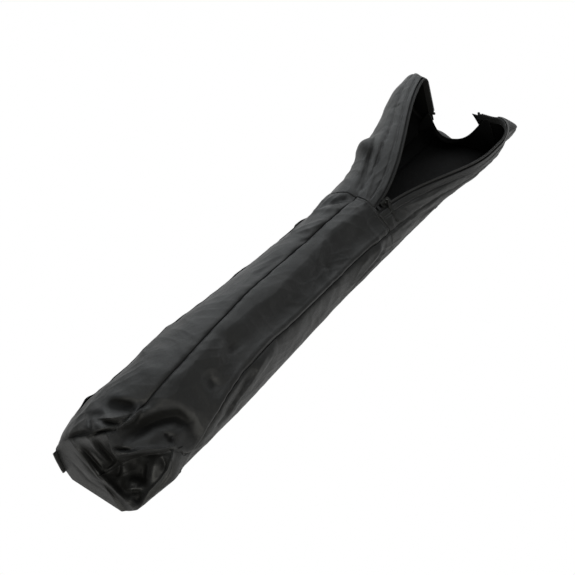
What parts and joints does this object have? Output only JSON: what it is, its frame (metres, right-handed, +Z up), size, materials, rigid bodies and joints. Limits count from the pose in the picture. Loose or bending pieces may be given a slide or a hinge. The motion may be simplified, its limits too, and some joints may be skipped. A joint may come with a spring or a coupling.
{
  "type": "soft carry case",
  "caption": "Long soft nylon carry case for a telescope tripod, with a zipped mouth that opens into two walls, a slider with a pull and a webbing strap.",
  "frame": {"origin": "centre of the flat underside that lies on the floor, halfway along the bag", "axes": "+X along the bag from the foot end to the zipped mouth, +Z up, the zip turned towards -Y"},
  "size_m": [1.0799, 0.2303, 0.1592],
  "materials": {
    "nylon": "satin woven",
    "webbing": "matte ribbed",
    "zip_tape": "matte",
    "zip_coil": "satin",
    "zip_metal": "dark satin"
  },
  "bodies": {
    "bag": {"bottom_panel": "nylon", "back_panel": "nylon", "front_panel": "nylon", "top_panel": "nylon", "foot_end_panel": "nylon", "mouth_end_panel": "nylon", "back_mouth_wall": "nylon", "front_mouth_wall": "nylon", "zip_start_tape": "zip_tape", "back_zip_tape": "zip_tape", "front_zip_tape": "zip_tape", "back_zip_chain": "zip_coil", "front_zip_chain": "zip_coil", "zip_bottom_stop": "zip_metal", "carry_strap": "webbing", "strap_tab_foot": "webbing", "strap_tab_mouth": "webbing"},
    "back_flap_body": {"back_flap": "nylon", "back_end_panel": "nylon", "back_flap_zip_tape": "zip_tape", "back_flap_zip_chain": "zip_coil", "back_top_stop": "zip_metal"},
    "front_flap_body": {"front_flap": "nylon", "front_end_panel": "nylon", "front_flap_zip_tape": "zip_tape", "front_flap_zip_chain": "zip_coil", "front_top_stop": "zip_metal"},
    "slider_body": {"zip_slider": "zip_metal", "zip_slider_bridge": "zip_metal"},
    "pull_body": {"zip_pull": "zip_metal"}
  },
  "joints": [
    {"name": "back_flap_fold", "type": "hinge", "parent": "bag", "child": "back_flap_body", "pos_m": [0.4875, 0.07027, 0.021], "axis": [1, 0, 0], "range_deg": [0, 51]},
    {"name": "front_flap_fold", "type": "hinge", "parent": "bag", "child": "front_flap_body", "pos_m": [0.4875, -0.07027, 0.021], "axis": [-1, 0, 0], "range_deg": [0, 48]},
    {"name": "zip_run", "type": "slide", "parent": "bag", "child": "slider_body", "axis": [1, 0, 0], "range_m": [0, 0.235]},
    {"name": "pull_swing", "type": "hinge", "parent": "slider_body", "child": "pull_body", "pos_m": [0.185, -0.04413, 0.11148], "axis": [-1, 0, 0], "range_deg": [0, 200]}
  ],
  "couplings": [
    {"joint": "front_flap_fold", "follows": "back_flap_fold", "ratio": 0.9411},
    {"joint": "zip_run", "follows": "back_flap_fold", "m_per_rad": 0.2638}
  ]
}
